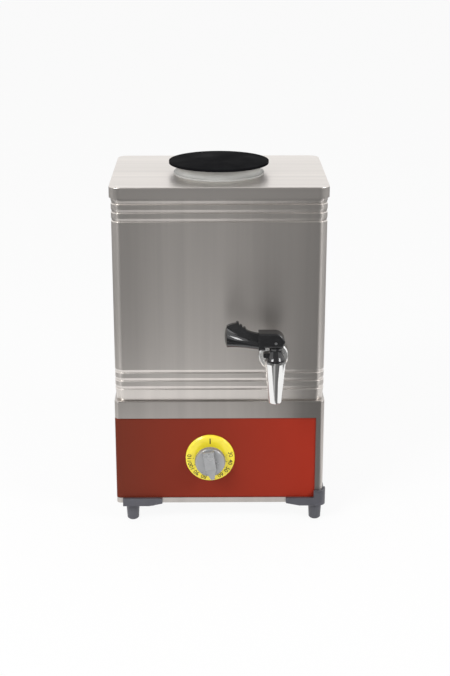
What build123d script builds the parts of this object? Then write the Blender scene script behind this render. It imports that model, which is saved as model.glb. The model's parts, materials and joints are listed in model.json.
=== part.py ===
"""Tea urn: a steel water tank on a heated base, with a lever tap, a dial thermostat and a lift-off lid.

Millimetres, +Z up, front towards -Y. The table is at z = 0, and the origin lies under the middle of the
whole urn, its tap included.
"""
import os
from build123d import *

# Base housing
base_width = 230.0
base_depth = 176.0
base_height = 121.0
base_sheet = 1.2
base_corner = 5.0
base_flange = 10.0
base_fold = 1.0
foot_height = 22.0
rail_height = 20.0
post_width = 9.0
sill_height = 6.0

# Front panel, folded round the left edge
panel_sheet = 1.2
panel_bend = 3.0
panel_return = 12.0
panel_gap = 0.3
panel_top_lap = 8.0
panel_sill_lap = 3.0

# Bottom plate
plate_sheet = 1.2
plate_gap = 0.3
vent_length = 60.0
vent_width = 4.0
vent_pitch = 12.0
vent_count = 5

# Corner feet
foot_arm = 41.0
foot_arm_width = 12.0
foot_shelf = 3.0
foot_wall = 3.0
foot_gap = 0.2
foot_cap_height = 14.5
foot_cap_reach = 10.0
foot_taper = 15.0
leg_top_radius = 7.5
leg_end_radius = 6.5
leg_inset = 8.0
leg_round = 1.5
inboard_foot_inset = 7.0
inboard_leg_inset = 10.5

# Foot screws and nuts
foot_screw_radius = 2.0
foot_screw_gap = 0.2
foot_screw_head = 3.8
foot_screw_head_height = 2.4
foot_screw_along = 32.0
foot_screw_inset = 6.5
foot_nut_flats = 7.0
foot_nut_height = 3.2
foot_screw_spare = 1.0

# Tank
tank_height = 236.3
tank_inset = 1.0
tank_sheet = 1.0
tank_corner = 10.0
tank_flange = 6.0
skirt_tuck = 1.8
bead_pitch = 9.4
bead_width = 4.2
bead_depth = 1.0
bead_ledge = 0.9
bead_count = 3
lower_bead_rise = 15.2
upper_bead_drop = 15.6
floor_sheet = 1.2
floor_gap = 0.2

# Top deck and its mouth
deck_sheet = 1.2
deck_gap = 0.6
deck_skirt = 12.0
deck_round = 1.0
mouth_radius = 44.5
mouth_lip = 6.0
mouth_forward = 11.0

# Lid
lid_radius = 54.3
lid_edge = 2.6
lid_crown = 1.6
lid_rise = 11.2
seal_neck_radius = 45.8
seal_lip_radius = 49.2
seal_lip_height = 1.6
seal_flare_height = 5.0
seal_gap = 0.6
seal_plug_depth = 8.0
seal_wall = 5.5
lid_rib_depth = 4.0
lid_rib_gap = 0.05

# Dial, knob and thermostat
dial_x = -10.5
dial_rise = 54.0
dial_radius = 27.1
dial_rim = 1.3
dial_face = 2.6
dial_bevel = 2.0
knob_gap = 0.6
knob_hub_radius = 9.0
knob_standoff = 8.0
knob_radius = 17.0
knob_disc = 5.0
knob_draft_share = 0.95
knob_edge = 0.8
knob_rest_angle = 8.0
grip_width = 14.0
grip_height = 8.0
grip_top = 14.5
grip_shoulder = 5.0
grip_tip = 19.6
grip_tip_width = 5.0
grip_draft_angle = 5.0
grip_top_drop = 5.0
grip_tip_drop = 4.5
shaft_radius = 3.0
shaft_flat = 1.0
shaft_seat = 12.0
shaft_grip = 11.0
shaft_running_gap = 0.06
shaft_fit_gap = 0.05
shaft_hole_gap = 2.0
thermostat_size = 36.0
thermostat_depth = 22.0
thermostat_corner = 4.0
thermostat_screw_pitch = 28.0
thermostat_screw_radius = 1.5
thermostat_screw_gap = 0.1
thermostat_screw_grip = 6.0
thermostat_tab_width = 6.3
thermostat_tab_sheet = 0.8
thermostat_tab_length = 8.0
thermostat_tab_pitch = 16.0

# Tap
tap_x = 58.3
tap_reach = 47.0
tap_inlet_rise = 53.0
tap_top_rise = 10.0
spout_length = 47.0
spout_top_radius = 11.2
spout_rim = 2.0
spout_end_radius = 6.9
spout_round = 1.8
spout_bore = 4.6
chamber_radius = 8.0
seat_drop = 23.0
neck_radius = 8.5
shank_radius = 7.0
shank_gap = 0.2
port_radius = 4.5
shank_spare = 4.0
escutcheon_radius = 16.0
escutcheon_height = 3.0
escutcheon_round = 1.4
gasket_radius = 14.0
gasket_height = 1.5
tap_nut_flats = 22.0
tap_nut_height = 6.0

# Bonnet
bonnet_radius = 10.0
bonnet_rim = 2.0
bonnet_waist = 6.6
bonnet_waist_rise = 12.5
bonnet_top_radius = 7.2
bonnet_height = 16.0
bonnet_flange = 1.6
bonnet_plug = 5.0
bonnet_plug_gap = 0.1
bonnet_lug_reach = 13.0
bonnet_lug_width = 8.0
bonnet_lug_low = 4.0
bonnet_lug_high = 9.0
spring_well_radius = 6.6
spring_well_rise = 6.0

# Stem, seat cup and spring
stem_radius = 2.5
stem_running_gap = 0.08
stem_above_pin = 3.0
cup_radius = 6.8
cup_height = 9.0
cup_grip = 6.0
seat_gap = 0.1
spring_radius = 4.8
spring_wire = 1.1
spring_turns = 4
spring_steps = 12
spring_gap = 0.1

# Lever
lever_pin_rise = 5.0
lever_gap = 0.3
lever_pin_radius = 1.5
lever_pin_running_gap = 0.06
hub_back = 18.0
hub_front = 9.5
hub_height = 15.5
hub_width = 17.0
hub_nose_drop = 10.5
hub_round = 2.0
heel_inner = 11.0
heel_drop = 3.0
pocket_length = 5.6
pocket_gap = 0.4
pocket_above_pin = 5.0
handle_start = 16.0
handle_length = 35.0
handle_start_rise = 1.3
handle_end_rise = 10.7
handle_end_radius = 11.6
handle_dome = 2.2
handle_length_shares = (0, 0.28, 0.57, 0.83, 1)
handle_radius_shares = (0.45, 0.46, 0.57, 0.79, 1)
handle_rise_shares = (0, 0.14, 0.41, 0.74, 1)
rib_width = 5.0
rib_crest_out = 40.0
rib_crest_rise = 25.0
rib_end_drop = 3.0
thumb_ridge_radius = 1.7
thumb_ridge_shares = (0.68, 0.84, 1)

# Heating element in the tank
element_radius = 4.0
element_half_width = 26.0
element_front = 48.0
element_back = 40.0
element_rise = 26.0
element_drop = 22.0
element_bend = 14.0
bush_radius = 6.5
bush_flange_radius = 10.0
bush_flange = 2.5
bush_drop = 12.0
bush_gap = 0.1
element_fit_gap = 0.05
element_nut_flats = 17.0
element_nut_height = 5.0

# Sensor pocket, bulb and capillary
pocket_x = -55.0
pocket_y = 5.0
pocket_radius = 4.5
pocket_sheet = 0.8
pocket_height = 60.0
pocket_tail = 6.0
bulb_radius = 3.4
bulb_length = 50.0
capillary_radius = 1.1
capillary_drop = 22.0
capillary_back = 16.0
capillary_bend = 7.0

# Overheat cutout under the tank floor
cutout_x = 45.0
cutout_y = -15.0
cutout_radius = 8.0
cutout_height = 7.0
cutout_tab_width = 4.8
cutout_tab_sheet = 0.8
cutout_tab_length = 7.0
cutout_tab_pitch = 8.0

# Terminal block on the bottom plate
block_x = -45.0
block_y = 45.0
block_length = 42.0
block_depth = 20.0
block_height = 17.0
block_ways = 3
block_pole_radius = 3.0

# Cable gland in the rear wall
gland_inset = 45.0
gland_rise = 26.0
gland_reach = 13.0
gland_flange = 4.0
gland_flange_radius = 11.0
gland_dome_radius = 8.0
gland_thread_radius = 7.8
gland_thread_length = 11.0
gland_bore = 4.1
gland_hole_gap = 0.2
gland_nut_flats = 20.0
gland_nut_height = 5.0

# Inner wires
wire_radius = 1.3
wire_bend = 9.0
wire_lead = 24.0
wire_run_rise = 24.0
wire_loop_drop = 20.0
earth_x = -72.0

# Extra length of every cutting body
overrun = 1.0

# Levels and planes that the pieces share
base_bottom = foot_height
base_top = base_bottom + base_height
flange_bottom = base_bottom + plate_sheet
flange_top = flange_bottom + base_sheet
rail_bottom = base_top - rail_height
sill_top = base_bottom + sill_height
tank_top = base_top + tank_height
deck_top = tank_top + deck_sheet
tank_width = base_width - 2 * tank_inset
tank_depth = base_depth - 2 * tank_inset
floor_bottom = base_top + tank_sheet
floor_top = floor_bottom + floor_sheet
base_front = -base_depth / 2
panel_front = base_front + base_sheet
panel_back = panel_front + panel_sheet
tank_front = -tank_depth / 2
dial_z = base_bottom + dial_rise
dial_front = panel_front - dial_face
tap_y = tank_front - tap_reach
tap_inlet_z = base_top + tap_inlet_rise
tap_top = tap_inlet_z + tap_top_rise
mouth_y = -mouth_forward
gland_x = -base_width / 2 + gland_inset
gland_z = base_bottom + gland_rise
wire_run_z = flange_bottom + block_height + wire_run_rise
wire_loop_z = floor_bottom - element_drop - wire_loop_drop

# The origin is under the middle of the box round the whole urn
front_reach = tap_reach - tank_front + handle_end_radius
rear_reach = base_depth / 2 + gland_reach
frame_shift = (front_reach - rear_reach) / 2


def slab(x0, x1, y0, y1, z0, z1):
    """Block between two corners."""
    middle = Pos((x0 + x1) / 2, (y0 + y1) / 2, (z0 + z1) / 2)
    return middle * Box(abs(x1 - x0), abs(y1 - y0), abs(z1 - z0))


def rod(radius, z0, z1):
    """Upright cylinder on the Z axis between two heights."""
    return Pos(0, 0, (z0 + z1) / 2) * Cylinder(radius, z1 - z0)


def rounded_block(width, depth, corner, z0, z1):
    """Upright block with rounded vertical edges between two heights."""
    return Pos(0, 0, z0) * extrude(RectangleRounded(width, depth, corner), z1 - z0)


def turned(*points):
    """Solid turned about Z from (radius, height) points."""
    return revolve(Plane.XZ * make_face(Polyline(*points, close=True)), Axis.Z)


def hexagon(flats, z0, z1):
    """Upright hexagonal prism between two heights."""
    outline = RegularPolygon(flats / 2, 6, major_radius=False)
    return Pos(0, 0, z0) * extrude(outline, z1 - z0)


def facing_front(x, y, z):
    """Frame at a point whose Z axis points out of the front, with X to the right and Y up."""
    return Plane(origin=(x, y, z), x_dir=(1, 0, 0), z_dir=(0, -1, 0))


def facing_rear(x, y, z):
    """Frame at a point whose Z axis points out of the back."""
    return Plane(origin=(x, y, z), x_dir=(-1, 0, 0), z_dir=(0, 1, 0))


def tube(points, radius, bend):
    """Round rod along straight runs joined by tangent arcs."""
    path = FilletPolyline(*points, radius=bend)
    section = Plane(origin=path @ 0, z_dir=path % 0) * Circle(radius)
    return sweep(section, path=path)


def folded_wall(profile, width, depth, corner):
    """Sheet wall round a rounded rectangle, from (outward, height) points of its section."""
    section = Plane.XZ * make_face(Polyline(*[(corner + out, z) for out, z in profile], close=True))
    along, across = width / 2 - corner, depth / 2 - corner
    bend = revolve(section, Axis.Z, 90)
    sides = [(along, -across, 2 * across), (along, across, 2 * along)]
    sides += [(-along, across, 2 * across), (-along, -across, 2 * along)]
    bends = [(along, across), (-along, across), (-along, -across), (along, -across)]
    pieces = []
    for quarter in range(4):
        turn = Rot(0, 0, 90 * quarter)
        x, y, length = sides[quarter]
        pieces.append(Pos(x, y, 0) * turn * extrude(section, length, dir=(0, 1, 0)))
        x, y = bends[quarter]
        pieces.append(Pos(x, y, 0) * turn * bend)
    return pieces[0].fuse(*pieces[1:])


def copies_at(places, make):
    """One piece of its own, made afresh, at each (x, y) place."""
    return Compound(children=[Pos(x, y, 0) * make() for x, y in places])


def foot_screw_places():
    """Middle of each foot screw: front left, front right, rear left, rear right."""
    x = base_width / 2 - foot_screw_inset
    y = base_depth / 2 - foot_screw_along
    front_left = (-base_width / 2 + inboard_foot_inset + foot_screw_along, base_front + foot_screw_inset)
    return [front_left, (x, -y), (-x, y), (x, y)]


def element_legs():
    """Middle of each leg of the heating element where it passes the tank floor."""
    return [(-element_half_width, element_back), (element_half_width, element_back)]


def make_base_shell():
    width, depth = base_width - 2 * base_sheet, base_depth - 2 * base_sheet
    corner = base_corner - base_sheet
    block = rounded_block(base_width, base_depth, base_corner, base_bottom, base_top)
    shell = fillet(block.faces().sort_by(Axis.Z)[-1].edges(), base_fold)
    shell -= rounded_block(width, depth, corner, flange_top, base_top - base_sheet)
    shell -= rounded_block(width, depth, corner, base_bottom - overrun, flange_bottom)
    mouth = (width - 2 * base_flange, depth - 2 * base_flange, corner)
    shell -= rounded_block(*mouth, base_bottom, base_top + overrun)
    left, right = -base_width / 2, base_width / 2 - post_width
    front = base_front - overrun
    shell -= slab(left - overrun, right, front, panel_front, sill_top, rail_bottom)
    notch_right = left + base_corner
    shell -= slab(left - overrun, notch_right, front, base_front + panel_return, sill_top, rail_bottom)
    for x, y in foot_screw_places():
        shell -= Pos(x, y, 0) * rod(foot_screw_radius + foot_screw_gap, base_bottom, flange_top + overrun)
    rear = base_depth / 2 + overrun
    hole = rod(gland_thread_radius + gland_hole_gap, 0, base_sheet + 2 * overrun)
    shell -= facing_rear(gland_x, rear - base_sheet - 2 * overrun, gland_z) * hole
    return shell


def make_front_panel():
    left, right = -base_width / 2, base_width / 2 - base_corner
    back_left, end = left + panel_sheet, base_front + panel_return - panel_gap
    front = Line((right, panel_front), (left + panel_bend, panel_front))
    bend = TangentArc(front @ 1, (left, panel_front + panel_bend), tangent=(-1, 0))
    fold = Polyline(bend @ 1, (left, end), (back_left, end), (back_left, panel_front + panel_bend))
    inside = TangentArc(fold @ 1, (left + panel_bend, panel_back), tangent=(0, -1))
    closing = Polyline(inside @ 1, (right, panel_back), front @ 0)
    section = make_face(front + bend + fold + inside + closing)
    low, high = sill_top + panel_gap, rail_bottom - panel_gap
    panel = Pos(0, 0, low) * extrude(section, high - low, dir=(0, 0, 1))
    lap_left = left + base_corner
    panel += slab(lap_left, right, panel_front, panel_back, sill_top - panel_sill_lap, low)
    panel += slab(lap_left, right, panel_front, panel_back, high, rail_bottom + panel_top_lap)
    seat = facing_front(dial_x, panel_back + overrun, dial_z)
    panel -= seat * rod(shaft_radius + shaft_hole_gap, 0, panel_sheet + 2 * overrun)
    for side in (-1, 1):
        hole = rod(thermostat_screw_radius + thermostat_screw_gap, 0, panel_sheet + 2 * overrun)
        panel -= seat * Pos(side * thermostat_screw_pitch / 2, 0, 0) * hole
    return panel


def make_bottom_plate():
    inset = base_sheet + plate_gap
    width, depth = base_width - 2 * inset, base_depth - 2 * inset
    plate = rounded_block(width, depth, base_corner - inset, base_bottom, flange_bottom)
    hole = rod(foot_screw_radius + foot_screw_gap, base_bottom - overrun, flange_bottom + overrun)
    slot = extrude(SlotOverall(vent_length, vent_width), plate_sheet + 2 * overrun)
    for x, y in foot_screw_places():
        plate -= Pos(x, y, 0) * hole
    for place in GridLocations(0, vent_pitch, 1, vent_count):
        plate -= Pos(0, 0, base_bottom - overrun) * place * slot
    return plate


def make_leg(low):
    """Tapered leg on the Z axis, from the table up to a shelf's underside."""
    sole = [(0, 0), (leg_end_radius - leg_round, 0), (leg_end_radius, leg_round)]
    return turned(*sole, (leg_top_radius, low), (0, low))


def make_corner_foot():
    """Foot for the right rear corner, in the urn's frame."""
    x, y = base_width / 2, base_depth / 2
    low, lip_top = base_bottom - foot_shelf, sill_top
    outer = foot_wall + foot_gap
    cap_top = base_bottom + foot_cap_height
    body = slab(x - foot_arm, x + outer, y - foot_arm, y + outer, low, lip_top)
    body += slab(x - foot_cap_reach, x + outer, y - foot_cap_reach, y + outer, lip_top, cap_top)
    round_edge = [e for e in body.edges().filter_by(Axis.Z) if (e @ 0).X > x and (e @ 0).Y > y]
    body = fillet(round_edge, base_corner + outer - foot_gap)
    far, near = foot_arm + overrun, foot_arm_width
    body -= slab(x - far, x - near, y - far, y - near, low - overrun, lip_top + overrun)
    width, depth = base_width + 2 * foot_gap, base_depth + 2 * foot_gap
    body -= rounded_block(width, depth, base_corner + foot_gap, base_bottom, base_top)
    ramp = make_face(Polyline((0, 0), (0, foot_shelf), (foot_taper, 0), close=True))
    along_x = Plane(origin=(x - foot_arm, y + outer + overrun, low), x_dir=(1, 0, 0), z_dir=(0, -1, 0))
    body -= along_x * extrude(ramp, foot_arm)
    along_y = Plane(origin=(x + outer + overrun, y - foot_arm, low), x_dir=(0, 1, 0), z_dir=(1, 0, 0))
    body -= along_y * extrude(ramp, -foot_arm)
    body += Pos(x - leg_inset, y - leg_inset, 0) * make_leg(low)
    screw_x, screw_y = foot_screw_places()[3]
    hole = rod(foot_screw_radius + foot_screw_gap, low - overrun, base_bottom + overrun)
    return body - Pos(screw_x, screw_y, 0) * hole


def make_inboard_foot():
    """Foot under the front left edge, clear of the panel's folded corner."""
    x0 = -base_width / 2 + inboard_foot_inset
    x1 = x0 + foot_arm + foot_wall
    low = base_bottom - foot_shelf
    outer = foot_wall + foot_gap
    body = slab(x0, x1, base_front - outer, base_front + foot_arm_width, low, sill_top)
    body -= rounded_block(base_width, base_depth + 2 * foot_gap, base_corner, base_bottom, base_top)
    ramp = make_face(Polyline((0, 0), (0, foot_shelf), (-foot_taper, 0), close=True))
    inner_edge = base_front + foot_arm_width + overrun
    along_x = Plane(origin=(x1, inner_edge, low), x_dir=(1, 0, 0), z_dir=(0, -1, 0))
    body -= along_x * extrude(ramp, foot_arm)
    body += Pos(x0 + inboard_leg_inset, base_front + leg_inset, 0) * make_leg(low)
    screw_x, screw_y = foot_screw_places()[0]
    hole = rod(foot_screw_radius + foot_screw_gap, low - overrun, base_bottom + overrun)
    return body - Pos(screw_x, screw_y, 0) * hole


def make_foot_screw():
    low = base_bottom - foot_shelf
    top = flange_top + foot_nut_height + foot_screw_spare
    return rod(foot_screw_radius, low, top) + rod(foot_screw_head, low - foot_screw_head_height, low)


def make_foot_nut():
    top = flange_top + foot_nut_height
    thread = rod(foot_screw_radius + foot_screw_gap / 2, flange_top - overrun, top + overrun)
    return hexagon(foot_nut_flats, flange_top, top) - thread


def make_tank_shell():
    half = bead_width / 2
    lower = [lower_bead_rise + i * bead_pitch for i in range(bead_count)]
    upper = [tank_height - upper_bead_drop - i * bead_pitch for i in range(bead_count)]
    outer = [(-skirt_tuck, 0)]
    for middle in lower + upper[::-1]:
        outer += [(0, middle - half), (-bead_depth, middle - half + bead_ledge), (0, middle + half)]
    outer.append((0, tank_height))
    inner = [(out - tank_sheet, z) for out, z in outer[:0:-1]]
    inner.append((-skirt_tuck - tank_sheet, tank_sheet))
    flange_edge = -skirt_tuck - tank_flange
    flange = [(flange_edge, tank_sheet), (flange_edge, 0)]
    shell = Pos(0, 0, base_top) * folded_wall(outer + inner + flange, tank_width, tank_depth, tank_corner)
    hole = rod(shank_radius + shank_gap, 0, tank_sheet + 2 * overrun)
    return shell - facing_front(tap_x, tank_front + tank_sheet + overrun, tap_inlet_z) * hole


def make_tank_floor():
    inset = skirt_tuck + tank_sheet + floor_gap
    width, depth = tank_width - 2 * inset, tank_depth - 2 * inset
    floor = rounded_block(width, depth, tank_corner - inset, floor_bottom, floor_top)
    low, high = floor_bottom - overrun, floor_top + overrun
    for x, y in element_legs():
        floor -= Pos(x, y, 0) * rod(bush_radius + bush_gap, low, high)
    return floor - Pos(pocket_x, pocket_y, 0) * rod(pocket_radius + bush_gap, low, high)


def make_top_deck():
    gap = deck_gap + deck_sheet
    low, lip_low = deck_top - deck_skirt, deck_top - mouth_lip
    outside = (tank_width + 2 * gap, tank_depth + 2 * gap, tank_corner + gap)
    inside = (tank_width + 2 * deck_gap, tank_depth + 2 * deck_gap, tank_corner + deck_gap)
    block = rounded_block(*outside, low, deck_top)
    deck = fillet(block.faces().sort_by(Axis.Z)[-1].edges(), deck_round)
    deck -= rounded_block(*inside, low - overrun, tank_top)
    deck += Pos(0, mouth_y, 0) * rod(mouth_radius + deck_sheet, lip_low, deck_top)
    return deck - Pos(0, mouth_y, 0) * rod(mouth_radius, lip_low - overrun, deck_top + overrun)


def make_lid_disc():
    low, edge_top = deck_top + lid_rise, deck_top + lid_rise + lid_edge
    rib_outer = seal_neck_radius - seal_wall - lid_rib_gap
    rib_inner = rib_outer - lid_edge
    rim = Line((lid_radius, low), (lid_radius, edge_top))
    crown = TangentArc((0, edge_top + lid_crown), rim @ 1, tangent=(1, 0))
    under = Polyline(crown @ 0, (0, low), (rib_inner, low), (rib_inner, low - lid_rib_depth),
                     (rib_outer, low - lid_rib_depth), (rib_outer, low), rim @ 0)
    disc = revolve(Plane.XZ * make_face(rim + crown + under), Axis.Z)
    return Pos(0, mouth_y, 0) * disc


def make_lid_seal():
    top, plug = deck_top + lid_rise, mouth_radius - seal_gap
    inner = seal_neck_radius - seal_wall
    lip = Line((seal_lip_radius, deck_top), (seal_lip_radius, deck_top + seal_lip_height))
    flare_low = deck_top + seal_lip_height
    belly_out = seal_neck_radius + (seal_lip_radius - seal_neck_radius) / 4
    belly = (belly_out, flare_low + seal_flare_height / 4)
    flare = ThreePointArc(lip @ 1, belly, (seal_neck_radius, flare_low + seal_flare_height))
    low = deck_top - seal_plug_depth
    rest = Polyline(flare @ 1, (seal_neck_radius, top), (inner, top), (inner, low),
                    (plug - seal_lip_height, low), (plug, low + seal_lip_height), (plug, deck_top), lip @ 0)
    return Pos(0, mouth_y, 0) * revolve(Plane.XZ * make_face(lip + flare + rest), Axis.Z)


def make_dial_ring():
    hole = shaft_radius + shaft_hole_gap
    ring = turned((hole, 0), (dial_radius, 0), (dial_radius, dial_rim),
                  (dial_radius - dial_bevel, dial_face), (hole, dial_face))
    return facing_front(dial_x, panel_front, dial_z) * ring


def make_control_knob():
    low, back, face = knob_gap, knob_standoff, knob_standoff + knob_disc
    slim = knob_radius * knob_draft_share
    hub = [(0, low), (knob_hub_radius, low), (knob_hub_radius, back), (knob_radius, back)]
    disc = turned(*hub, (slim, face - knob_edge), (slim - knob_edge, face), (0, face))
    half, tip = grip_width / 2, grip_tip_width / 2
    outline = [(half, grip_top), (-half, grip_top), (-half, -grip_shoulder)]
    outline += [(-tip, -grip_tip), (tip, -grip_tip), (half, -grip_shoulder)]
    block = make_face(Polyline(*outline, close=True))
    grip = Pos(0, 0, back) * extrude(block, knob_disc + grip_height, taper=grip_draft_angle)
    crest = face + grip_height
    above, high_end, low_end = crest + overrun, grip_top + overrun, -grip_tip - overrun
    bend = grip_top - grip_shoulder
    upper = Polyline((high_end, crest - grip_top_drop - overrun), (high_end, above),
                     (bend, above), (bend, crest), close=True)
    lower = Polyline((low_end, crest - grip_tip_drop - overrun), (low_end, above),
                     (-grip_shoulder, above), (-grip_shoulder, crest), close=True)
    for cut in (upper, lower):
        grip -= extrude(Plane.YZ * make_face(cut), grip_width, both=True)
    knob = disc + grip
    knob -= rod(shaft_radius + shaft_fit_gap, low - overrun, low + shaft_grip)
    return facing_front(dial_x, dial_front, dial_z) * Rot(0, 0, knob_rest_angle) * knob


def make_thermostat_shaft():
    back = -(dial_face + panel_sheet + shaft_seat)
    end = knob_gap + shaft_grip - shaft_fit_gap
    shaft = rod(shaft_radius, back, end)
    flat = shaft_radius - shaft_flat
    shaft -= slab(-shaft_radius, shaft_radius, flat, shaft_radius + overrun, knob_gap, end + overrun)
    return facing_front(dial_x, dial_front, dial_z) * Rot(0, 0, knob_rest_angle) * shaft


def make_thermostat_body():
    body = rounded_block(thermostat_size, thermostat_size, thermostat_corner, -thermostat_depth, 0)
    body -= rod(shaft_radius + shaft_running_gap, -shaft_seat - panel_gap, overrun)
    half, tab_end = thermostat_tab_width / 2, -thermostat_depth - thermostat_tab_length
    screw = rod(thermostat_screw_radius + thermostat_screw_gap, -thermostat_screw_grip - panel_gap, overrun)
    for side in (-1, 1):
        x = side * thermostat_tab_pitch / 2
        body += slab(x - half, x + half, 0, thermostat_tab_sheet, tab_end, -thermostat_depth)
        body -= Pos(side * thermostat_screw_pitch / 2, 0, 0) * screw
    return facing_front(dial_x, panel_back, dial_z) * body


def make_thermostat_screw():
    return rod(thermostat_screw_radius, -thermostat_screw_grip, panel_sheet)


def make_thermostat_screws():
    places = [(side * thermostat_screw_pitch / 2, 0) for side in (-1, 1)]
    return facing_front(dial_x, panel_back, dial_z) * copies_at(places, make_thermostat_screw)


def tap_frame():
    """Frame on the tap's upright axis at the top of its spout casting."""
    return Pos(tap_x, tap_y, tap_top)


def escutcheon_front():
    """Distance from the tap's axis back to the front of the escutcheon."""
    return tap_reach - gasket_height - escutcheon_height


def make_tap_body():
    bottom = -spout_length
    rim = [(0, 0), (spout_top_radius, 0), (spout_top_radius, -spout_rim)]
    body = turned(*rim, (spout_end_radius, bottom), (0, bottom))
    body = fillet(body.faces().sort_by(Axis.Z)[0].edges(), spout_round)
    back = Plane(origin=(0, 0, -tap_top_rise), x_dir=(-1, 0, 0), z_dir=(0, 1, 0))
    tail = tap_reach + tank_sheet + gasket_height + tap_nut_height + shank_spare
    body += back * rod(neck_radius, 0, escutcheon_front())
    body += back * rod(shank_radius, 0, tail)
    body -= rod(chamber_radius, -seat_drop, overrun)
    body -= rod(spout_bore, bottom - overrun, 0)
    body -= back * rod(port_radius, 0, tail + overrun)
    return tap_frame() * body


def make_escutcheon():
    hole = shank_radius + shank_gap
    edge, face = escutcheon_height - escutcheon_round, escutcheon_radius - escutcheon_round
    ring = turned((hole, 0), (escutcheon_radius, 0), (escutcheon_radius, edge),
                  (face, escutcheon_height), (hole, escutcheon_height))
    return facing_front(tap_x, tank_front - gasket_height, tap_inlet_z) * ring


def make_gasket():
    hole = rod(shank_radius + shank_gap, -overrun, gasket_height + overrun)
    return rod(gasket_radius, 0, gasket_height) - hole


def make_tap_gaskets():
    outer = facing_front(tap_x, tank_front, tap_inlet_z) * make_gasket()
    inner = facing_rear(tap_x, tank_front + tank_sheet, tap_inlet_z) * make_gasket()
    return Compound(children=[outer, inner])


def make_tap_nut():
    nut = hexagon(tap_nut_flats, 0, tap_nut_height)
    nut -= rod(shank_radius + shank_gap / 2, -overrun, tap_nut_height + overrun)
    return facing_rear(tap_x, tank_front + tank_sheet + gasket_height, tap_inlet_z) * nut


def make_tap_bonnet():
    rim = Line((bonnet_radius, 0), (bonnet_radius, bonnet_rim))
    waist = (bonnet_waist, bonnet_waist_rise)
    belly_out = bonnet_waist + (bonnet_radius - bonnet_waist) / 3
    belly = (belly_out, (bonnet_rim + bonnet_waist_rise) / 2)
    bell = ThreePointArc(rim @ 1, belly, waist)
    plug = chamber_radius - bonnet_plug_gap
    crown_low = (bonnet_top_radius, bonnet_height - bonnet_flange)
    rest = Polyline(waist, crown_low, (bonnet_top_radius, bonnet_height), (0, bonnet_height),
                    (0, -bonnet_plug), (plug, -bonnet_plug), (plug, 0), rim @ 0)
    bonnet = revolve(Plane.XZ * make_face(rim + bell + rest), Axis.Z)
    half = bonnet_lug_width / 2
    lug = slab(-bonnet_lug_reach, 0, -half, half, bonnet_lug_low, bonnet_lug_high)
    nose = lug.edges().filter_by(Axis.Y).group_by(Axis.X)[0]
    bonnet += fillet(nose, (bonnet_lug_high - bonnet_lug_low) / 3)
    bonnet -= rod(spring_well_radius, -bonnet_plug - overrun, spring_well_rise)
    bonnet -= rod(stem_radius + stem_running_gap, 0, bonnet_height + overrun)
    return tap_frame() * bonnet


def make_tap_stem():
    pin_z = bonnet_height + lever_gap + lever_pin_rise
    cup_top = -seat_drop + seat_gap + cup_height
    stem = rod(stem_radius, cup_top - cup_grip, pin_z + stem_above_pin)
    hole = Cylinder(lever_pin_radius + lever_pin_running_gap, 4 * stem_radius)
    return tap_frame() * (stem - Pos(0, 0, pin_z) * Rot(90, 0, 0) * hole)


def make_seat_cup():
    low = -seat_drop + seat_gap
    top = low + cup_height
    cup = turned((0, low), (cup_radius, low), (cup_radius, low + cup_height / 2),
                 (cup_radius - cup_height / 4, top), (0, top))
    return tap_frame() * (cup - rod(stem_radius + shaft_fit_gap, top - cup_grip, top + overrun))


def make_tap_spring():
    low = -seat_drop + seat_gap + cup_height + spring_gap + spring_wire / 2
    high = spring_well_rise - spring_gap - spring_wire / 2
    steps = spring_turns * spring_steps
    sections = []
    for i in range(steps + 1):
        turn = Rot(0, 0, 360 * i / spring_steps)
        place = turn * Pos(spring_radius, 0, low + (high - low) * i / steps) * Rot(90, 0, 0)
        sections.append(place * Rectangle(spring_wire, spring_wire))
    return tap_frame() * loft(sections, ruled=True)


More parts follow.
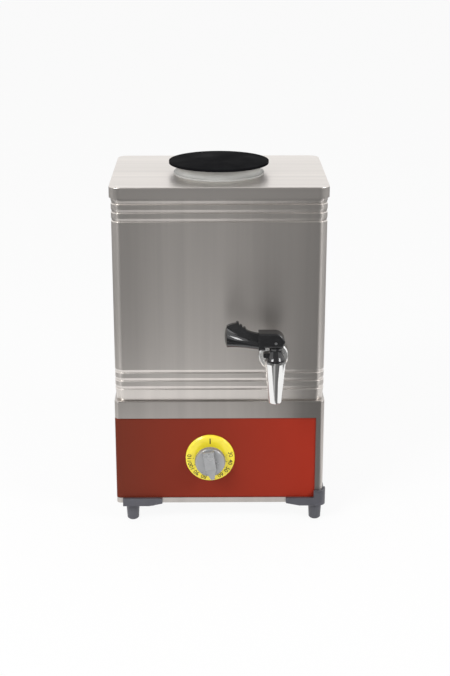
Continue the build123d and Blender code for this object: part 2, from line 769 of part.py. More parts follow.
def make_tap_lever():
    hub_low = bonnet_height + lever_gap
    hub_top = hub_low + hub_height
    heel_low = hub_low - heel_drop
    back = Line((-hub_back, heel_low), (-hub_back, hub_top))
    nose = (hub_front, hub_top - hub_nose_drop)
    shoulder = (hub_front - hub_nose_drop, hub_top)
    brink = (hub_front - hub_nose_drop / 4, hub_top - hub_nose_drop / 3)
    crown = ThreePointArc(shoulder, brink, nose)
    heel = [(-heel_inner, hub_low), (-heel_inner, heel_low)]
    closing = Polyline(nose, (hub_front - hub_round, hub_low), *heel, back @ 0)
    outline = make_face(back + Line(back @ 1, shoulder) + crown + closing)
    hub = extrude(Plane.XZ * outline, hub_width / 2, both=True)
    hub = fillet(hub.edges().group_by(Axis.Y)[0] + hub.edges().group_by(Axis.Y)[-1], hub_round)

    sections = []
    for along, swell, lift in zip(handle_length_shares, handle_radius_shares, handle_rise_shares):
        out = handle_start + along * handle_length
        rise = hub_low + handle_start_rise + lift * (handle_end_rise - handle_start_rise)
        place = Plane(origin=(-out, 0, rise), x_dir=(0, 1, 0), z_dir=(-1, 0, 0))
        sections.append(place * Circle(swell * handle_end_radius))
    dome_rim = Line((0, 0), (handle_end_radius, 0))
    dome_arc = TangentArc((0, handle_dome), dome_rim @ 1, tangent=(1, 0))
    dome = revolve(Plane.XZ * make_face(dome_rim + dome_arc + Line(dome_arc @ 0, dome_rim @ 0)), Axis.Z)
    handle = loft(sections) + place * dome

    crest = (-rib_crest_out, hub_low + rib_crest_rise)
    rib_start = (-hub_back + 2 * hub_round, hub_top - hub_round)
    rib_end = (-handle_start - handle_length, crest[1] - rib_end_drop)
    top = TangentArc(rib_start, crest, tangent=(-1, 0))
    brow = ThreePointArc(crest, ((crest[0] + rib_end[0]) / 2, crest[1] - rib_end_drop / 4), rib_end)
    root = hub_low + handle_start_rise
    under = Polyline(rib_end, (rib_end[0], root + handle_end_rise), (rib_start[0], root), rib_start)
    rib = extrude(Plane.XZ * make_face(top + brow + under), rib_width / 2, both=True)
    lever = hub + handle + rib
    for along in thumb_ridge_shares:
        spot = top @ along
        lever += Pos(spot.X, 0, spot.Y) * Rot(90, 0, 0) * Cylinder(thumb_ridge_radius, rib_width)

    pin_z = hub_low + lever_pin_rise
    wide = stem_radius + pocket_gap
    lever -= slab(-pocket_length, pocket_length, -wide, wide, hub_low - overrun, pin_z + pocket_above_pin)
    lever -= Pos(0, 0, pin_z) * Rot(90, 0, 0) * Cylinder(lever_pin_radius + shaft_fit_gap, 2 * hub_width)
    return tap_frame() * lever


def make_lever_pin():
    pin_z = bonnet_height + lever_gap + lever_pin_rise
    return tap_frame() * Pos(0, 0, pin_z) * Rot(90, 0, 0) * Cylinder(lever_pin_radius, hub_width)


def make_heating_element():
    low, high = floor_bottom - element_drop, floor_top + element_rise
    (x0, y0), (x1, y1) = element_legs()
    route = [(x0, y0, low), (x0, y0, high), (x0, -element_front, high)]
    route += [(x1, -element_front, high), (x1, y1, high), (x1, y1, low)]
    return tube(route, element_radius, element_bend)


def make_element_bush():
    low, high = floor_bottom - bush_drop, floor_top + bush_flange
    bush = rod(bush_radius, low, floor_top) + rod(bush_flange_radius, floor_top, high)
    return bush - rod(element_radius + element_fit_gap, low - overrun, high + overrun)


def make_element_nut():
    low = floor_bottom - element_nut_height
    nut = hexagon(element_nut_flats, low, floor_bottom)
    return nut - rod(bush_radius + bush_gap, low - overrun, floor_bottom + overrun)


def make_sensor_pocket():
    low, high = floor_bottom - pocket_tail, floor_top + pocket_height
    pocket = rod(pocket_radius, low, high)
    pocket += rod(pocket_radius + bush_flange, floor_top, floor_top + pocket_sheet)
    pocket -= rod(pocket_radius - pocket_sheet, low - overrun, high - pocket_sheet)
    return Pos(pocket_x, pocket_y, 0) * pocket


def make_sensor_bulb():
    low = floor_bottom - pocket_tail
    return Pos(pocket_x, pocket_y, 0) * rod(bulb_radius, low, low + bulb_length)


def make_capillary():
    start = floor_bottom - pocket_tail
    low = start - capillary_drop
    back = panel_back + thermostat_depth
    turn_y = back + capillary_back
    route = [(pocket_x, pocket_y, start), (pocket_x, pocket_y, low), (pocket_x, turn_y, low)]
    route += [(dial_x, turn_y, dial_z), (dial_x, back, dial_z)]
    return tube(route, capillary_radius, capillary_bend)


def make_thermal_cutout():
    low = floor_bottom - cutout_height
    body = rod(cutout_radius, low, floor_bottom)
    half = cutout_tab_width / 2
    for side in (-1, 1):
        x = side * cutout_tab_pitch / 2
        body += slab(x, x + cutout_tab_sheet, -half, half, low - cutout_tab_length, low)
    return Pos(cutout_x, cutout_y, 0) * body


def make_terminal_block():
    block = slab(-block_length / 2, block_length / 2, -block_depth / 2, block_depth / 2, 0, block_height)
    for place in GridLocations(block_length / block_ways, 0, block_ways, 1):
        block -= place * rod(block_pole_radius, block_height / 2, block_height + overrun)
    return Pos(block_x, block_y, flange_bottom) * block


def terminal_top(way):
    """Point where a wire enters the terminal block: 0 is the left way."""
    x = block_x + (way - (block_ways - 1) / 2) * block_length / block_ways
    return (x, block_y, flange_bottom + block_height / 2)


def thermostat_tab(side):
    """Rear end of a thermostat tab: -1 is the left one."""
    y = panel_back + thermostat_depth + thermostat_tab_length
    return (dial_x + side * thermostat_tab_pitch / 2, y, dial_z + thermostat_tab_sheet / 2)


def cutout_tab(side):
    """Lower end of a cutout tab: -1 is the left one."""
    x = cutout_x + side * cutout_tab_pitch / 2 + cutout_tab_sheet / 2
    return (x, cutout_y, floor_bottom - cutout_height - cutout_tab_length)


def element_end(leg):
    """Lower end of an element leg: 0 is the left one."""
    x, y = element_legs()[leg]
    return (x, y, floor_bottom - element_drop)


def make_live_wire():
    x0, y0, z0 = terminal_top(2)
    x1, y1, z1 = thermostat_tab(-1)
    route = [(x0, y0, z0), (x0, y0, wire_run_z), (x1, y1 + wire_lead, z1), (x1, y1, z1)]
    return tube(route, wire_radius, wire_bend)


def make_switched_wire():
    x0, y0, z0 = thermostat_tab(1)
    x1, y1, z1 = cutout_tab(-1)
    route = [(x0, y0, z0), (x0, y0 + wire_lead, z0), (x1, y1, wire_loop_z), (x1, y1, z1)]
    return tube(route, wire_radius, wire_bend)


def make_cutout_wire():
    x0, y0, z0 = cutout_tab(1)
    x1, y1, z1 = element_end(1)
    route = [(x0, y0, z0), (x0, y0, wire_loop_z), (x1, y1, wire_loop_z), (x1, y1, z1)]
    return tube(route, wire_radius, wire_bend)


def make_neutral_wire():
    x0, y0, z0 = terminal_top(1)
    x1, y1, z1 = element_end(0)
    route = [(x0, y0, z0), (x0, y0, wire_run_z), (x1, y1, wire_loop_z), (x1, y1, z1)]
    return tube(route, wire_radius, wire_bend)


def make_earth_wire():
    x0, y0, z0 = terminal_top(0)
    route = [(x0, y0, z0), (x0, y0, wire_run_z), (earth_x, y0, wire_loop_z), (earth_x, y0, floor_bottom)]
    return tube(route, wire_radius, wire_bend)


def make_cable_gland():
    end = -base_sheet - gland_thread_length
    profile = [(gland_bore, end), (gland_thread_radius, end), (gland_thread_radius, 0)]
    profile += [(gland_flange_radius, 0), (gland_flange_radius, gland_flange)]
    profile += [(gland_dome_radius, gland_reach), (gland_bore, gland_reach)]
    return facing_rear(gland_x, base_depth / 2, gland_z) * turned(*profile)


def make_gland_nut():
    nut = hexagon(gland_nut_flats, -gland_nut_height, 0)
    nut -= rod(gland_thread_radius + gland_hole_gap / 2, -gland_nut_height - overrun, overrun)
    return facing_rear(gland_x, base_depth / 2 - base_sheet, gland_z) * nut


corner_foot = make_corner_foot()
nodes = {
    "base_shell": make_base_shell(),
    "front_panel": make_front_panel(),
    "bottom_plate": make_bottom_plate(),
    "front_left_foot": make_inboard_foot(),
    "front_right_foot": mirror(corner_foot, Plane.XZ),
    "rear_left_foot": mirror(corner_foot, Plane.YZ),
    "rear_right_foot": corner_foot,
    "foot_screws": copies_at(foot_screw_places(), make_foot_screw),
    "foot_nuts": copies_at(foot_screw_places(), make_foot_nut),
    "tank_shell": make_tank_shell(),
    "tank_floor": make_tank_floor(),
    "top_deck": make_top_deck(),
    "lid_disc": make_lid_disc(),
    "lid_seal": make_lid_seal(),
    "dial_ring": make_dial_ring(),
    "control_knob": make_control_knob(),
    "thermostat_shaft": make_thermostat_shaft(),
    "thermostat_body": make_thermostat_body(),
    "thermostat_screws": make_thermostat_screws(),
    "tap_body": make_tap_body(),
    "tap_escutcheon": make_escutcheon(),
    "tap_gaskets": make_tap_gaskets(),
    "tap_nut": make_tap_nut(),
    "tap_bonnet": make_tap_bonnet(),
    "tap_stem": make_tap_stem(),
    "tap_seat_cup": make_seat_cup(),
    "tap_spring": make_tap_spring(),
    "tap_lever": make_tap_lever(),
    "lever_pin": make_lever_pin(),
    "heating_element": make_heating_element(),
    "element_bushes": copies_at(element_legs(), make_element_bush),
    "element_nuts": copies_at(element_legs(), make_element_nut),
    "sensor_pocket": make_sensor_pocket(),
    "sensor_bulb": make_sensor_bulb(),
    "sensor_capillary": make_capillary(),
    "thermal_cutout": make_thermal_cutout(),
    "terminal_block": make_terminal_block(),
    "live_wire": make_live_wire(),
    "switched_wire": make_switched_wire(),
    "cutout_wire": make_cutout_wire(),
    "neutral_wire": make_neutral_wire(),
    "earth_wire": make_earth_wire(),
    "cable_gland": make_cable_gland(),
    "gland_nut": make_gland_nut(),
}

os.makedirs("parts", exist_ok=True)
for name, shape in nodes.items():
    export_step(Pos(0, frame_shift, 0) * shape, f"parts/{name}.step")
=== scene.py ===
"""Looks of the tea urn: a material per surface, the dial's print, the studio and the camera."""
import json
from math import cos, radians, sin

import bmesh
import bpy
from mathutils import Matrix, Vector

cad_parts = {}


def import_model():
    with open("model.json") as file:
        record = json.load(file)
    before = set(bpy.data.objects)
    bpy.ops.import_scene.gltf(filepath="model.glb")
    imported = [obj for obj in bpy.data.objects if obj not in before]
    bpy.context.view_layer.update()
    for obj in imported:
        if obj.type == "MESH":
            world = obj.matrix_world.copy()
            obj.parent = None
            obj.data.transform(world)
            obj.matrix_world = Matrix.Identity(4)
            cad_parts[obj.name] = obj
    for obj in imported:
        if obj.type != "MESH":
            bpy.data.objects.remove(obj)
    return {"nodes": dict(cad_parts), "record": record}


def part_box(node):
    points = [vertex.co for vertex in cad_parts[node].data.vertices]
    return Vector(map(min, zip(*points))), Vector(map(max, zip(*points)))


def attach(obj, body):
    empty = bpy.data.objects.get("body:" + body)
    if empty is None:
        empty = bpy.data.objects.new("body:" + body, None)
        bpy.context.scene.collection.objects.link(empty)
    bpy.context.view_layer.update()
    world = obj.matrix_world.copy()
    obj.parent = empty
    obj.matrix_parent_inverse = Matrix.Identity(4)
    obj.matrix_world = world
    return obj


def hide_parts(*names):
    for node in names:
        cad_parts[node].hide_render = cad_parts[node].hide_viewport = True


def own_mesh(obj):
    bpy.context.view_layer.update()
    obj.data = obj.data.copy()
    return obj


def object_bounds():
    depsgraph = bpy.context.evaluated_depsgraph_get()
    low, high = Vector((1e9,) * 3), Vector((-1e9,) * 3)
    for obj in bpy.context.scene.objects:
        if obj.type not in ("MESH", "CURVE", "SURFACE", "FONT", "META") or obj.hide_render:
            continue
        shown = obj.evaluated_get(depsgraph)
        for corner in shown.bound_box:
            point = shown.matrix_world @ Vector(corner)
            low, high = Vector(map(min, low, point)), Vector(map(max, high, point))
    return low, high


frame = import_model()
cad_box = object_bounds()
nodes = frame["nodes"]

# Camera, in metres from the middle of the base's front and in degrees; the lens in millimetres
camera_side = -0.008
camera_ahead = 1.400
camera_height = 0.6799
camera_pitch = 18.34
camera_yaw = 0.57
camera_lens = 73.02

# Studio, in metres and watts
floor_half = 8.0
floor_glow = 0.90
floor_tone = 0.92
floor_roughness = 0.9
key_place = (-1.1, -1.3, 1.5)
key_size = 0.8
key_power = 21.0
fill_place = (1.4, -1.0, 1.1)
fill_size = 0.6
fill_power = 10.0
ambient = 0.58
sky_tone = 0.975

# Painted reflections: glowing sheets of a dim room round a bright table that only mirrors see, in
# metres; tones are pairs of a place along x and a grey
bright_ahead = 0.31
bright_beside = 0.34
shade_ahead = 0.03
room_half = 4.0
room_lift = 0.001
wall_ahead = 2.1
wall_half = 1.7
ceiling_height = 3.2
ceiling_behind = 0.6
room_tones = ((-1.70, 0.28), (1.70, 0.28))
# The floor sheet's brighter band near the middle paints a streak of light into reflections.
floor_tones = ((-0.40, 0.12), (-0.15, 0.13), (-0.03, 0.48), (0.08, 0.15), (0.40, 0.12))
# The shade sheet paints shade into the reflection of the bright table to the right.
shade_tones = ((0.085, 0.18), (0.24, 0.18))
ramp_middle = 0.5

# Dial print, in metres and degrees; a digit fills a share of its font's size
print_lift = 0.00008
numeral_height = 0.0045
digit_share = 0.7
numeral_weight = 0.00004
numeral_radius = 0.0228
numeral_first_angle = 12.0
numeral_last_angle = -180.0
numerals = ("30", "40", "50", "60", "70", "80", "90", "100", "110")
tick_radius = 0.0188
tick_size = 0.0004
mark_inner = 0.0172
mark_outer = 0.0236
mark_half_width = 0.0006
ink_color = (0.02, 0.018, 0.012)

# What the finishes share: the range of noise, the openness of seams where shade is painted, the
# bend of edges
noise_low = 0.3
noise_high = 0.7
ray_count = 4
seam_open = 0.2
face_open = 0.8
edge_start = 0.97
edge_full = 0.80
patch_scale = 160
patch_least = 0.1
patch_most = 0.9
coat_roughness = 0.06
sheet_color = (0.78, 0.735, 0.695)
# The base's steel is a darker copy of the sheet steel: shade painted into the base's colour.
base_color = (0.56, 0.525, 0.495)
chrome_color = (0.88, 0.88, 0.87)
upright_streak = (1, 1, 0.02)
level_streak = (0.02, 1, 1)


def ranged(tree, value, start, end, low=0.0, high=1.0):
    """Runs from low to high while a value runs from start to end."""
    node = tree.nodes.new("ShaderNodeMapRange")
    node.inputs["From Min"].default_value = start
    node.inputs["From Max"].default_value = end
    node.inputs["To Min"].default_value = low
    node.inputs["To Max"].default_value = high
    tree.links.new(value, node.inputs["Value"])
    return node.outputs["Result"]


def across(tree, start, end):
    """Share of the way from one place to another along the object's x."""
    place = tree.nodes.new("ShaderNodeTexCoord")
    split = tree.nodes.new("ShaderNodeSeparateXYZ")
    tree.links.new(place.outputs["Object"], split.inputs["Vector"])
    return ranged(tree, split.outputs["X"], start, end)


def reckoned(tree, operation, first, second):
    """Result of one operation on two values."""
    node = tree.nodes.new("ShaderNodeMath")
    node.operation = operation
    tree.links.new(first, node.inputs[0])
    tree.links.new(second, node.inputs[1])
    return node.outputs["Value"]


class Finish:
    """One procedural material: its shader, and short calls that add texture to it."""

    def __init__(self, name, color, roughness, metallic=0.0, coat=0.0, specular=0.5):
        self.material = bpy.data.materials.new(name)
        self.material.use_nodes = True
        self.tree = self.material.node_tree
        self.shader = self.tree.nodes["Principled BSDF"]
        self.color = color
        self.shader.inputs["Base Color"].default_value = (*color, 1.0)
        self.shader.inputs["Roughness"].default_value = roughness
        self.shader.inputs["Metallic"].default_value = metallic
        self.shader.inputs["Coat Weight"].default_value = coat
        self.shader.inputs["Coat Roughness"].default_value = coat_roughness
        self.shader.inputs["Specular IOR Level"].default_value = specular
        self.place = self.tree.nodes.new("ShaderNodeTexCoord").outputs["Object"]

    def link(self, source, target):
        self.tree.links.new(source, target)

    def noise(self, scale, stretch=(1, 1, 1), detail=3.0):
        """Noise in cycles per metre, stretched along the axes."""
        mapping = self.tree.nodes.new("ShaderNodeMapping")
        mapping.inputs["Scale"].default_value = [scale * s for s in stretch]
        texture = self.tree.nodes.new("ShaderNodeTexNoise")
        texture.inputs["Scale"].default_value = 1.0
        texture.inputs["Detail"].default_value = detail
        self.link(self.place, mapping.inputs["Vector"])
        self.link(mapping.outputs["Vector"], texture.inputs["Vector"])
        return texture.outputs["Fac"]

    def spread(self, value, low, high):
        """Maps a noise value to a range."""
        return ranged(self.tree, value, noise_low, noise_high, low, high)

    def mix(self, share, first, last, blend="MIX"):
        """Shows a mix of two colours; each value is plain or comes from a node."""
        node = self.tree.nodes.new("ShaderNodeMix")
        node.data_type = "RGBA"
        node.blend_type = blend
        for socket, value in (("Factor", share), ("A", first), ("B", last)):
            if isinstance(value, bpy.types.NodeSocket):
                self.link(value, node.inputs[socket])
            else:
                node.inputs[socket].default_value = value
        self.painted = node.outputs["Result"]
        self.link(self.painted, self.shader.inputs["Base Color"])
        return self

    def paint(self, share, first, last):
        """Runs the colour from the first to the last as a share goes from 0 to 1."""
        return self.mix(share, (*first, 1.0), (*last, 1.0))

    def tint(self, value, dark, light):
        """Varies the colour between two multiples of it."""
        first = [c * dark for c in self.color]
        last = [min(c * light, 1.0) for c in self.color]
        return self.paint(self.spread(value, 0.0, 1.0), first, last)

    def gloss(self, value, low, high):
        """Varies the roughness between two values."""
        self.link(self.spread(value, low, high), self.shader.inputs["Roughness"])
        return self

    def relief(self, value, depth, strength):
        """Raises the surface by a noise value, in metres."""
        bump = self.tree.nodes.new("ShaderNodeBump")
        bump.inputs["Strength"].default_value = strength
        bump.inputs["Distance"].default_value = depth
        self.link(value, bump.inputs["Height"])
        self.link(bump.outputs["Normal"], self.shader.inputs["Normal"])
        return self

    def paint_shade(self, reach, keep):
        """Paints shade into corners and seams within a reach, down to a share of the colour."""
        shade = self.tree.nodes.new("ShaderNodeAmbientOcclusion")
        shade.inputs["Distance"].default_value = reach
        shade.samples = ray_count
        level = ranged(self.tree, shade.outputs["AO"], seam_open, face_open, low=keep)
        return self.mix(1.0, self.painted, level, blend="MULTIPLY")

    def wear(self, width, worn):
        """Rubs edges within a width to a worn colour, in patches."""
        rounded = self.tree.nodes.new("ShaderNodeBevel")
        rounded.inputs["Radius"].default_value = width
        rounded.samples = ray_count
        true = self.tree.nodes.new("ShaderNodeNewGeometry")
        agree = self.tree.nodes.new("ShaderNodeVectorMath")
        agree.operation = "DOT_PRODUCT"
        self.link(rounded.outputs["Normal"], agree.inputs[0])
        self.link(true.outputs["Normal"], agree.inputs[1])
        edge = ranged(self.tree, agree.outputs["Value"], edge_start, edge_full)
        patches = self.spread(self.noise(patch_scale), patch_least, patch_most)
        share = reckoned(self.tree, "MULTIPLY", edge, patches)
        return self.mix(share, self.painted, (*worn, 1.0))


def satin_steel(name, color, streak):
    """Polished sheet with streaks along the axis whose stretch is smallest."""
    steel = Finish(name, color, roughness=0.31, metallic=1.0)
    steel.tint(steel.noise(70, streak, detail=4.0), dark=0.93, light=1.05)
    # Shade is painted into the sheet's corners and seams.
    steel.paint_shade(reach=0.004, keep=0.6)
    steel.gloss(steel.noise(9, streak), low=0.27, high=0.36)
    return steel.relief(steel.noise(900, streak, detail=2.0), depth=0.00003, strength=0.3)


def brushed_steel(name, color):
    """Upright sheet with upright streaks, and mirror images that smear upwards."""
    steel = satin_steel(name, color, upright_streak)
    around = steel.tree.nodes.new("ShaderNodeTangent")
    around.direction_type = "RADIAL"
    around.axis = "Z"
    steel.link(around.outputs["Tangent"], steel.shader.inputs["Tangent"])
    steel.shader.inputs["Anisotropic"].default_value = 0.70
    steel.shader.inputs["Anisotropic Rotation"].default_value = 0.25
    return steel


def red_enamel():
    """Enamel with painted shade towards the left edge and painted light towards the right."""
    red = Finish("red_enamel", (0.25, 0.026, 0.012), roughness=0.44, specular=0.12)
    low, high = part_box("front_panel")
    # Painted light and shade: the red runs from a shaded tone at the left edge to a lit tone at
    # the right.
    share = across(red.tree, low.x, high.x)
    red.paint(share, first=(0.145, 0.026, 0.013), last=(0.345, 0.025, 0.010))
    # The edges are worn paler, and shade is painted into the enamel's corners and seams.
    red.wear(width=0.0008, worn=(0.36, 0.10, 0.07)).paint_shade(reach=0.006, keep=0.5)
    red.gloss(red.noise(25), low=0.36, high=0.52)
    return red.relief(red.noise(450, detail=2.0), depth=0.00004, strength=0.25)


def moulded(name, color, roughness, depth=0.00006, metallic=0.0):
    """Grained plastic with paler edges."""
    plastic = Finish(name, color, roughness, metallic=metallic)
    plastic.tint(plastic.noise(40), dark=0.88, light=1.12)
    plastic.wear(width=0.0006, worn=[min(1.6 * c + 0.01, 1.0) for c in color])
    # Shade is painted into the plastic's corners and seams.
    plastic.paint_shade(reach=0.004, keep=0.6)
    plastic.gloss(plastic.noise(60), low=roughness - 0.06, high=roughness + 0.08)
    return plastic.relief(plastic.noise(700, detail=2.0), depth, strength=0.4)


def glossy(name, color, roughness, specular=0.5):
    """Smooth plastic with a faint waviness."""
    plastic = Finish(name, color, roughness, specular=specular)
    plastic.tint(plastic.noise(55), dark=0.85, light=1.15)
    plastic.gloss(plastic.noise(35), low=roughness * 0.8, high=roughness * 1.3)
    return plastic.relief(plastic.noise(220, detail=1.0), depth=0.00003, strength=0.15)


def rubbery(name, color):
    """Dull rubber with a fine grain."""
    rubber = Finish(name, color, roughness=0.62, specular=0.35)
    # Shade is painted into the rubber's corners and seams.
    rubber.tint(rubber.noise(45), dark=0.90, light=1.08).paint_shade(reach=0.005, keep=0.6)
    rubber.gloss(rubber.noise(80), low=0.55, high=0.72)
    return rubber.relief(rubber.noise(600, detail=2.0), depth=0.00006, strength=0.4)


def bare_metal(name, color, roughness):
    """Unpolished metal with shade painted into its corners."""
    metal = Finish(name, color, roughness, metallic=1.0)
    # Shade is painted into the metal's corners and seams.
    metal.tint(metal.noise(120), dark=0.88, light=1.08).paint_shade(reach=0.004, keep=0.5)
    metal.gloss(metal.noise(90), low=roughness * 0.75, high=roughness * 1.35)
    return metal.relief(metal.noise(800, detail=2.0), depth=0.00004, strength=0.25)


def chrome(name, roughness):
    """Smooth plating with patches of unlike gloss."""
    plate = Finish(name, chrome_color, roughness, metallic=1.0)
    # Shade is painted into the plating's corners and seams.
    plate.tint(plate.noise(30), dark=0.97, light=1.03).paint_shade(reach=0.003, keep=0.5)
    return plate.gloss(plate.noise(60), low=roughness * 0.7, high=roughness * 1.5)


def dial_enamel():
    """Yellow under a thin clear coat."""
    yellow = Finish("dial_yellow", (0.96, 0.80, 0.045), roughness=0.20, coat=0.25)
    yellow.tint(yellow.noise(60), dark=0.94, light=1.05)
    yellow.gloss(yellow.noise(50), low=0.16, high=0.26)
    return yellow.relief(yellow.noise(300, detail=1.0), depth=0.00003, strength=0.2)


finishes = {
    "satin_steel": brushed_steel("satin_steel", sheet_color),
    "red_enamel": red_enamel(),
    "zinc_plate": bare_metal("zinc_plate", (0.55, 0.56, 0.57), 0.45),
    "foot_plastic": moulded("foot_plastic", (0.085, 0.085, 0.10), 0.42),
    "fastener_steel": bare_metal("fastener_steel", (0.56, 0.56, 0.57), 0.28),
    "lid_black": glossy("lid_black", (0.008, 0.008, 0.009), 0.40, specular=0.001),
    "seal_grey": rubbery("seal_grey", (0.53, 0.53, 0.51)),
    "dial_yellow": dial_enamel(),
    "knob_grey": moulded("knob_grey", (0.36, 0.365, 0.37), 0.24, depth=0.00002, metallic=0.35),
    "phenolic_brown": moulded("phenolic_brown", (0.10, 0.06, 0.04), 0.45),
    "tap_chrome": chrome("tap_chrome", 0.05),
    "gasket_rubber": rubbery("gasket_rubber", (0.05, 0.05, 0.05)),
    "plain_brass": bare_metal("plain_brass", (0.70, 0.52, 0.22), 0.30),
    "tap_black": glossy("tap_black", (0.010, 0.010, 0.011), 0.10, specular=0.9),
    "element_sheath": bare_metal("element_sheath", (0.30, 0.30, 0.31), 0.38),
    "capillary_copper": bare_metal("capillary_copper", (0.72, 0.38, 0.24), 0.30),
    "cutout_can": bare_metal("cutout_can", (0.72, 0.72, 0.73), 0.35),
    "wire_brown": glossy("wire_brown", (0.18, 0.08, 0.04), 0.35),
    "wire_blue": glossy("wire_blue", (0.05, 0.15, 0.45), 0.35),
    "wire_green": glossy("wire_green", (0.15, 0.45, 0.10), 0.35),
    "gland_black": moulded("gland_black", (0.02, 0.02, 0.02), 0.45),
}
own_finishes = {
    "top_deck": satin_steel("deck_steel", sheet_color, level_streak),
    # The base gets a darker copy of the sheet steel, with shade painted into its colour.
    "base_shell": brushed_steel("base_steel", base_color),
    "tap_escutcheon": chrome("dulled_chrome", 0.24),
}
for subpart in frame["record"]["subparts"]:
    finish = own_finishes.get(subpart["node"], finishes[subpart["material_slot"]])
    mesh = nodes[subpart["node"]].data
    mesh.materials.clear()
    mesh.materials.append(finish.material)


def add_piece(name, bm, material):
    """Object made from a bmesh, with one material."""
    mesh = bpy.data.meshes.new(name)
    bm.to_mesh(mesh)
    bm.free()
    mesh.materials.append(material)
    piece = bpy.data.objects.new(name, mesh)
    bpy.context.scene.collection.objects.link(piece)
    return piece


def add_polygon(bm, points):
    """One face through points."""
    bm.faces.new([bm.verts.new(p) for p in points])


def add_bar(bm, start, end, side):
    """One flat bar from a start to an end, as wide as a vector to each side."""
    add_polygon(bm, [start - side, start + side, end + side, end - side])


def dial_print():
    """Numerals, ticks and the off mark on the dial's face, as one thin printed layer."""
    low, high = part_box("dial_ring")
    middle = Vector(((low.x + high.x) / 2, low.y - print_lift, (low.z + high.z) / 2))
    bm = bmesh.new()
    step = (numeral_last_angle - numeral_first_angle) / (len(numerals) - 1)
    for i, text in enumerate(numerals):
        angle = numeral_first_angle + i * step
        out = Vector((cos(radians(angle)), 0, sin(radians(angle))))
        curve = bpy.data.curves.new("numeral", "FONT")
        curve.body = text
        curve.size = numeral_height / digit_share
        curve.offset = numeral_weight
        curve.align_x = "CENTER"
        curve.align_y = "CENTER"
        holder = bpy.data.objects.new("numeral", curve)
        flat = holder.to_mesh()
        flat.transform(Matrix.Rotation(radians(90), 4, "X"))
        flat.transform(Matrix.Rotation(radians(90 - angle), 4, "Y"))
        flat.transform(Matrix.Translation(middle + out * numeral_radius))
        bm.from_mesh(flat)
        holder.to_mesh_clear()
        bpy.data.objects.remove(holder)
        spot = middle + out * tick_radius
        side = Vector((-out.z, 0, out.x)) * tick_size
        add_bar(bm, spot - out * tick_size, spot + out * tick_size, side)
    up, side = Vector((0, 0, 1)), Vector((mark_half_width, 0, 0))
    add_bar(bm, middle + up * mark_inner, middle + up * mark_outer, side)
    ink = moulded("dial_ink", ink_color, roughness=0.4)
    piece = add_piece("dial_print", bm, ink.material)
    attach(piece, "urn")


def tap_spring():
    """The tap's spring as a piece of its own on the urn's body, with the CAD spring hidden."""
    bm = bmesh.new()
    bm.from_mesh(nodes["tap_spring"].data)
    piece = add_piece("spring_coil", bm, nodes["tap_spring"].data.materials[0])
    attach(piece, "urn")
    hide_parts("tap_spring")
    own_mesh(piece)


def camera():
    """Camera ahead of the base's front, tilted down and turned a little."""
    base_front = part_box("base_shell")[0].y
    data = bpy.data.cameras.new("camera")
    data.lens = camera_lens
    eye = bpy.data.objects.new("camera", data)
    eye.location = (camera_side, base_front - camera_ahead, camera_height)
    eye.rotation_euler = (radians(90 - camera_pitch), 0, radians(-camera_yaw))
    bpy.context.scene.collection.objects.link(eye)
    bpy.context.scene.camera = eye


def lamp(name, place, size, power):
    """Square lamp that faces the middle of the part's height."""
    data = bpy.data.lights.new(name, "AREA")
    data.size = size
    data.energy = power
    light = bpy.data.objects.new(name, data)
    light.location = place
    aim = Vector((0, 0, cad_box[1][2] / 2)) - Vector(place)
    light.rotation_euler = aim.to_track_quat("-Z", "Y").to_euler()
    bpy.context.scene.collection.objects.link(light)


def seen_directly(tree):
    """Value that is 1 on rays from the camera and in mirrors and glass, and 0 on the rest."""
    path = tree.nodes.new("ShaderNodeLightPath")
    total = path.outputs["Is Camera Ray"]
    for name in ("Is Glossy Ray", "Is Transmission Ray"):
        total = reckoned(tree, "MAXIMUM", total, path.outputs[name])
    return total


def world():
    """White sky, brighter where it is seen than where it lights."""
    sky = bpy.data.worlds.new("studio")
    sky.use_nodes = True
    bpy.context.scene.world = sky
    tree = sky.node_tree
    background = tree.nodes["Background"]
    background.inputs["Color"].default_value = (1, 1, 1, 1)
    strength = ranged(tree, seen_directly(tree), 0.0, 1.0, ambient, sky_tone)
    tree.links.new(strength, background.inputs["Strength"])


def rectangle(x0, x1, y0, y1, z):
    """Corners of a level rectangle."""
    return [(x0, y0, z), (x1, y0, z), (x1, y1, z), (x0, y1, z)]


def studio_floor():
    """White paper that glows where it is seen, and takes shadows."""
    bm = bmesh.new()
    add_polygon(bm, rectangle(-floor_half, floor_half, -floor_half, floor_half, 0))
    paper = bpy.data.materials.new("floor_paper")
    paper.use_nodes = True
    tree = paper.node_tree
    matte = tree.nodes["Principled BSDF"]
    matte.inputs["Base Color"].default_value = (floor_tone, floor_tone, floor_tone, 1)
    matte.inputs["Roughness"].default_value = floor_roughness
    matte.inputs["Specular IOR Level"].default_value = 0.0
    glow = tree.nodes.new("ShaderNodeEmission")
    mix = tree.nodes.new("ShaderNodeMixShader")
    share = ranged(tree, seen_directly(tree), 0.0, 1.0, high=floor_glow)
    tree.links.new(share, mix.inputs["Fac"])
    tree.links.new(matte.outputs["BSDF"], mix.inputs[1])
    tree.links.new(glow.outputs["Emission"], mix.inputs[2])
    tree.links.new(mix.outputs["Shader"], tree.nodes["Material Output"].inputs["Surface"])
    add_piece("floor", bm, paper)


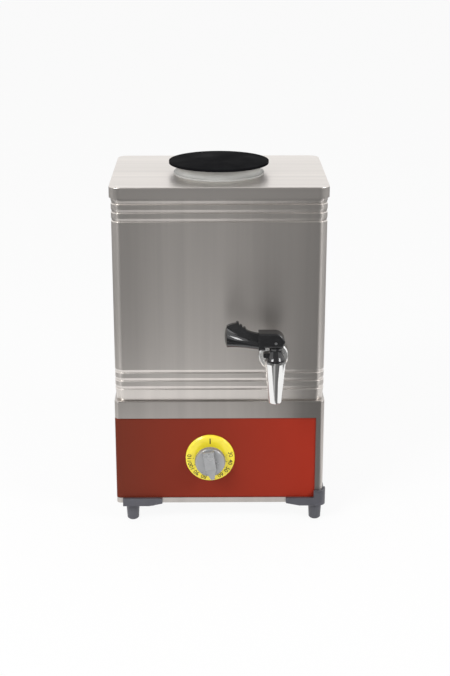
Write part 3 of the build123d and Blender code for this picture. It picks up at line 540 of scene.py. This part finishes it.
def mirror_card(name, faces, tones):
    """Glowing stage sheet that only mirrors see, which paints a reflection, with grey tones at
    places along x.
    """
    bm = bmesh.new()
    for points in faces:
        add_polygon(bm, points)
    grey = bpy.data.materials.new(name)
    grey.use_nodes = True
    tree = grey.node_tree
    first, last = tones[0][0], tones[-1][0]
    ramp = tree.nodes.new("ShaderNodeValToRGB")
    ramp.color_ramp.interpolation = "EASE"
    while len(ramp.color_ramp.elements) < len(tones):
        ramp.color_ramp.elements.new(ramp_middle)
    for element, (x, tone) in zip(ramp.color_ramp.elements, tones):
        element.position = (x - first) / (last - first)
        element.color = (tone, tone, tone, 1)
    glow = tree.nodes.new("ShaderNodeEmission")
    tree.links.new(across(tree, first, last), ramp.inputs["Fac"])
    tree.links.new(ramp.outputs["Color"], glow.inputs["Color"])
    tree.links.new(glow.outputs["Emission"], tree.nodes["Material Output"].inputs["Surface"])
    card = add_piece(name, bm, grey)
    card.visible_camera = False
    card.visible_diffuse = False
    card.visible_shadow = False
    card.visible_transmission = False


def room():
    """Painted reflections of a dim room round a bright table: glowing sheets for the floor, shade
    on the right, sides, front wall and ceiling.
    """
    low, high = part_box("base_shell")
    table_end = low.y - bright_ahead
    wall_y = low.y - wall_ahead
    ahead = rectangle(-room_half, room_half, -room_half, table_end, room_lift)
    mirror_card("dim_floor", [ahead], floor_tones)
    shade_left, shade_right = shade_tones[0][0], shade_tones[-1][0]
    shade = rectangle(shade_left, shade_right, table_end, low.y - shade_ahead, room_lift)
    mirror_card("dim_shade", [shade], shade_tones)
    left, right = low.x - bright_beside, high.x + bright_beside
    sides = [
        rectangle(-room_half, left, table_end, room_half, room_lift),
        rectangle(right, room_half, table_end, room_half, room_lift),
        rectangle(left, right, high.y + bright_beside, room_half, room_lift),
    ]
    mirror_card("dim_sides", sides, room_tones)
    wall = [(-wall_half, wall_y, 0), (wall_half, wall_y, 0),
            (wall_half, wall_y, ceiling_height), (-wall_half, wall_y, ceiling_height)]
    ceiling = rectangle(-wall_half, wall_half, wall_y, ceiling_behind, ceiling_height)
    mirror_card("dim_room", [wall, ceiling], room_tones)


dial_print()
tap_spring()
camera()
world()
studio_floor()
room()
lamp("key", key_place, key_size, key_power)
lamp("fill", fill_place, fill_size, fill_power)
bpy.context.scene.view_settings.view_transform = "Standard"
